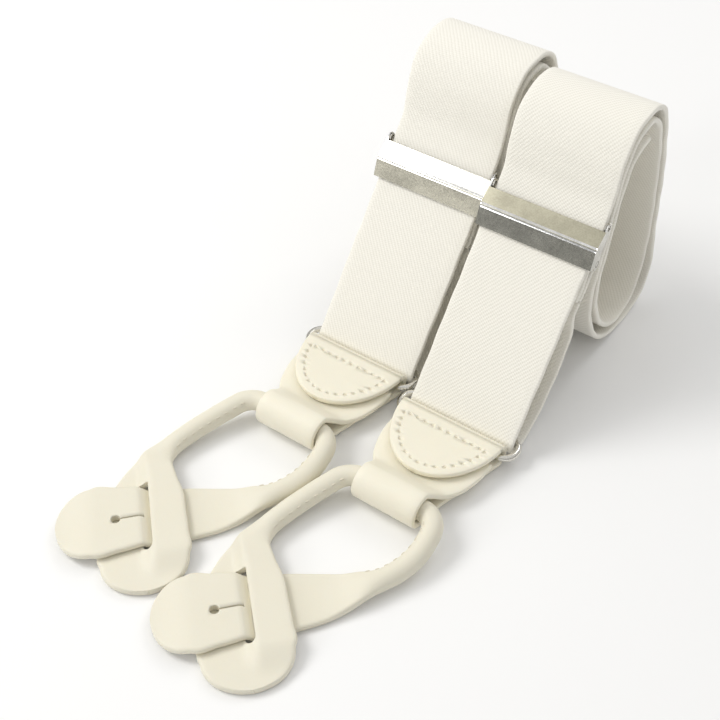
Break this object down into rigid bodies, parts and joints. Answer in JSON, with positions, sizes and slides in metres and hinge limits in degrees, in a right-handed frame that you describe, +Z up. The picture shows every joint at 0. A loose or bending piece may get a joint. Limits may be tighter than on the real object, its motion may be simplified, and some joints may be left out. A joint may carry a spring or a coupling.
{
  "type": "button-on suspenders",
  "caption": "Rolled pair of elastic webbing suspenders with metal slide adjusters, wire rings, folded leather tongues and buttonhole runners.",
  "frame": {"origin": "on the table under the middle of the whole bundle", "axes": "+X across the straps toward the right one, +Y from the leather tabs to the rolled webbing, +Z up"},
  "size_m": [0.0932, 0.2, 0.0831],
  "materials": {
    "webbing": "matte ribbed elastic weave",
    "leather": "smooth ivory leather, soft sheen",
    "nickel": "polished nickel plate"
  },
  "bodies": {
    "webbing": {"right_strap": "webbing", "right_return_run": "webbing", "left_strap": "webbing", "left_return_run": "webbing", "crosspatch": "leather", "back_strap": "webbing", "back_end": "leather"},
    "right_adjuster": {"right_adjuster_frame": "nickel", "right_adjuster_bar": "nickel", "right_pivot_outer": "nickel", "right_pivot_inner": "nickel", "right_end_loop": "webbing"},
    "right_lever": {"right_adjuster_cover": "nickel"},
    "right_ring": {"right_ring": "nickel"},
    "right_tongue": {"right_tongue": "leather"},
    "right_runner": {"right_runner": "leather"},
    "left_adjuster": {"left_adjuster_frame": "nickel", "left_adjuster_bar": "nickel", "left_pivot_outer": "nickel", "left_pivot_inner": "nickel", "left_end_loop": "webbing"},
    "left_lever": {"left_adjuster_cover": "nickel"},
    "left_ring": {"left_ring": "nickel"},
    "left_tongue": {"left_tongue": "leather"},
    "left_runner": {"left_runner": "leather"}
  },
  "joints": [
    {"name": "right_adjuster_slide", "type": "slide", "parent": "webbing", "child": "right_adjuster", "axis": [0, 0.6239, 0.7815], "range_m": [-0.025, 0], "deforming": ["right_return_run"]},
    {"name": "right_lever_hinge", "type": "hinge", "parent": "right_adjuster", "child": "right_lever", "pos_m": [0.02635, 0.04646, 0.05737], "axis": [-1, 0, 0], "range_deg": [0, 85]},
    {"name": "right_ring_hinge", "type": "hinge", "parent": "webbing", "child": "right_ring", "pos_m": [0.02635, 0.00833, 0.004], "axis": [-1, 0, 0], "range_deg": [-25, 25]},
    {"name": "right_tongue_hinge", "type": "hinge", "parent": "right_ring", "child": "right_tongue", "pos_m": [0.02635, 0.00073, 0.004], "axis": [-1, 0, 0], "range_deg": [-40, 45]},
    {"name": "right_runner_hinge", "type": "hinge", "parent": "right_tongue", "child": "right_runner", "pos_m": [0.02635, -0.02927, 0.006], "axis": [-1, 0, 0], "range_deg": [-45, 60]},
    {"name": "left_adjuster_slide", "type": "slide", "parent": "webbing", "child": "left_adjuster", "axis": [0, 0.6239, 0.7815], "range_m": [-0.025, 0], "deforming": ["left_return_run"]},
    {"name": "left_lever_hinge", "type": "hinge", "parent": "left_adjuster", "child": "left_lever", "pos_m": [-0.01225, 0.05151, 0.05518], "axis": [-1, 0, 0], "range_deg": [0, 85]},
    {"name": "left_ring_hinge", "type": "hinge", "parent": "webbing", "child": "left_ring", "pos_m": [-0.01225, 0.01513, 0.004], "axis": [-1, 0, 0], "range_deg": [-25, 25]},
    {"name": "left_tongue_hinge", "type": "hinge", "parent": "left_ring", "child": "left_tongue", "pos_m": [-0.01225, 0.00753, 0.004], "axis": [-1, 0, 0], "range_deg": [-40, 45]},
    {"name": "left_runner_hinge", "type": "hinge", "parent": "left_tongue", "child": "left_runner", "pos_m": [-0.01225, -0.02247, 0.006], "axis": [-1, 0, 0], "range_deg": [-45, 60]}
  ]
}
